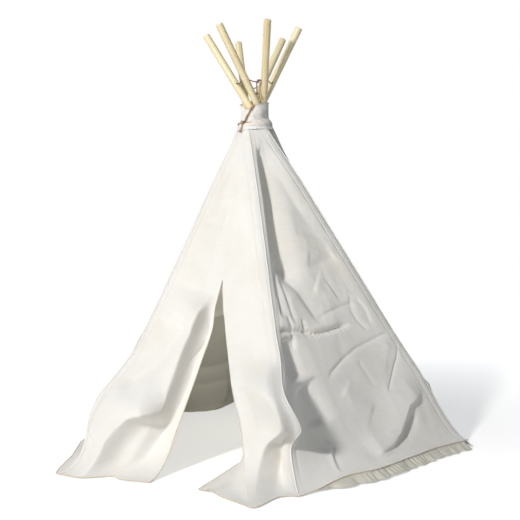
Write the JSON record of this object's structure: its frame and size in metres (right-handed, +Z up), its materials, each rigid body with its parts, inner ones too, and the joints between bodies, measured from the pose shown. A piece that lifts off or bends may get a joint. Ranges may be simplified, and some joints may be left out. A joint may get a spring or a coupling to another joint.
{
  "type": "kids teepee",
  "caption": "Children's play teepee: wooden poles crossing at a gathered neck under a sewn canvas cover with a slit door, folding as the poles swing together.",
  "frame": {"origin": "on the floor under the crossing of the poles, the centre of the cover's footprint", "axes": "+Z up; -Y out through the front side, which has the door; +X to the right as one faces the door from outside"},
  "size_m": [1.6023, 1.7892, 1.5772],
  "materials": {
    "pole_wood": "sanded bare softwood",
    "joint_metal": "plain drawn tube",
    "sleeve_canvas": "plain cotton canvas",
    "canvas": "natural white cotton canvas, plain weave",
    "dark_cord": "dark brown twisted cord",
    "tie_cord": "brown twisted cord"
  },
  "bodies": {
    "root": {"neck_collar": "canvas", "neck_band": "canvas", "neck_tie": "tie_cord"},
    "leg_front_left": {"pole_lower_front_left": "pole_wood", "pole_upper_front_left": "pole_wood", "pole_joint_front_left": "joint_metal", "pole_sleeve_front_left": "sleeve_canvas", "cord_front_left": "dark_cord", "panel_front_1": "canvas", "panel_left_front_2": "canvas"},
    "leg_front_right": {"pole_lower_front_right": "pole_wood", "pole_upper_front_right": "pole_wood", "pole_joint_front_right": "joint_metal", "pole_sleeve_front_right": "sleeve_canvas", "cord_front_right": "dark_cord", "panel_right_front_1": "canvas", "panel_front_2": "canvas", "hem_skirt_1": "canvas"},
    "leg_right": {"pole_lower_right": "pole_wood", "pole_upper_right": "pole_wood", "pole_joint_right": "joint_metal", "pole_sleeve_right": "sleeve_canvas", "cord_right": "dark_cord", "panel_right_back_1": "canvas", "panel_right_front_2": "canvas", "hem_skirt_2": "canvas"},
    "leg_back_right": {"pole_lower_back_right": "pole_wood", "pole_upper_back_right": "pole_wood", "pole_joint_back_right": "joint_metal", "pole_sleeve_back_right": "sleeve_canvas", "cord_back_right": "dark_cord", "panel_back_1": "canvas", "panel_right_back_2": "canvas"},
    "leg_back_left": {"pole_lower_back_left": "pole_wood", "pole_upper_back_left": "pole_wood", "pole_joint_back_left": "joint_metal", "pole_sleeve_back_left": "sleeve_canvas", "cord_back_left": "dark_cord", "panel_left_back_1": "canvas", "panel_back_2": "canvas", "cord_tail": "dark_cord"},
    "leg_left": {"pole_lower_left": "pole_wood", "pole_upper_left": "pole_wood", "pole_joint_left": "joint_metal", "pole_sleeve_left": "sleeve_canvas", "cord_left": "dark_cord", "panel_left_front_1": "canvas", "panel_left_back_2": "canvas"},
    "flap_left": {"door_flap_left": "canvas"},
    "flap_right": {"door_flap_right": "canvas"}
  },
  "joints": [
    {"name": "fold_front_left", "type": "hinge", "parent": "root", "child": "leg_front_left", "pos_m": [-0.02782, 0.01606, 1.262], "axis": [0.866, -0.5, 0], "range_deg": [0, 24.5], "deforming": ["panel_front_1", "panel_left_front_2", "cord_front_left", "door_flap_left"]},
    {"name": "fold_front_right", "type": "hinge", "parent": "root", "child": "leg_front_right", "pos_m": [-0.02782, -0.01606, 1.262], "axis": [0.866, 0.5, 0], "range_deg": [0, 24.5], "deforming": ["panel_right_front_1", "panel_front_2", "hem_skirt_1", "cord_front_right", "door_flap_right"]},
    {"name": "fold_right", "type": "hinge", "parent": "root", "child": "leg_right", "pos_m": [0, -0.03212, 1.262], "axis": [0, 1, 0], "range_deg": [0, 24.5], "deforming": ["panel_right_back_1", "panel_right_front_2", "hem_skirt_2", "cord_right"]},
    {"name": "fold_back_right", "type": "hinge", "parent": "root", "child": "leg_back_right", "pos_m": [0.02782, -0.01606, 1.262], "axis": [-0.866, 0.5, 0], "range_deg": [0, 24.5], "deforming": ["panel_back_1", "panel_right_back_2", "cord_back_right"]},
    {"name": "fold_back_left", "type": "hinge", "parent": "root", "child": "leg_back_left", "pos_m": [0.02782, 0.01606, 1.262], "axis": [-0.866, -0.5, 0], "range_deg": [0, 24.5], "deforming": ["panel_left_back_1", "panel_back_2", "cord_back_left", "cord_tail"]},
    {"name": "fold_left", "type": "hinge", "parent": "root", "child": "leg_left", "pos_m": [0, 0.03212, 1.262], "axis": [0, -1, 0], "range_deg": [0, 24.5], "deforming": ["panel_left_front_1", "panel_left_back_2", "cord_left"]},
    {"name": "open_left_flap", "type": "hinge", "parent": "leg_front_left", "child": "flap_left", "pos_m": [-0.0095, -0.3425, 0.62], "axis": [-0.3007, -0.4078, -0.8621], "range_deg": [0, 100]},
    {"name": "open_right_flap", "type": "hinge", "parent": "leg_front_right", "child": "flap_right", "pos_m": [-0.0095, -0.3425, 0.62], "axis": [-0.2954, 0.4802, 0.8259], "range_deg": [0, 110]}
  ],
  "couplings": [
    {"joint": "fold_front_right", "follows": "fold_front_left", "ratio": 1},
    {"joint": "fold_right", "follows": "fold_front_left", "ratio": 1},
    {"joint": "fold_back_right", "follows": "fold_front_left", "ratio": 1},
    {"joint": "fold_back_left", "follows": "fold_front_left", "ratio": 1},
    {"joint": "fold_left", "follows": "fold_front_left", "ratio": 1}
  ]
}
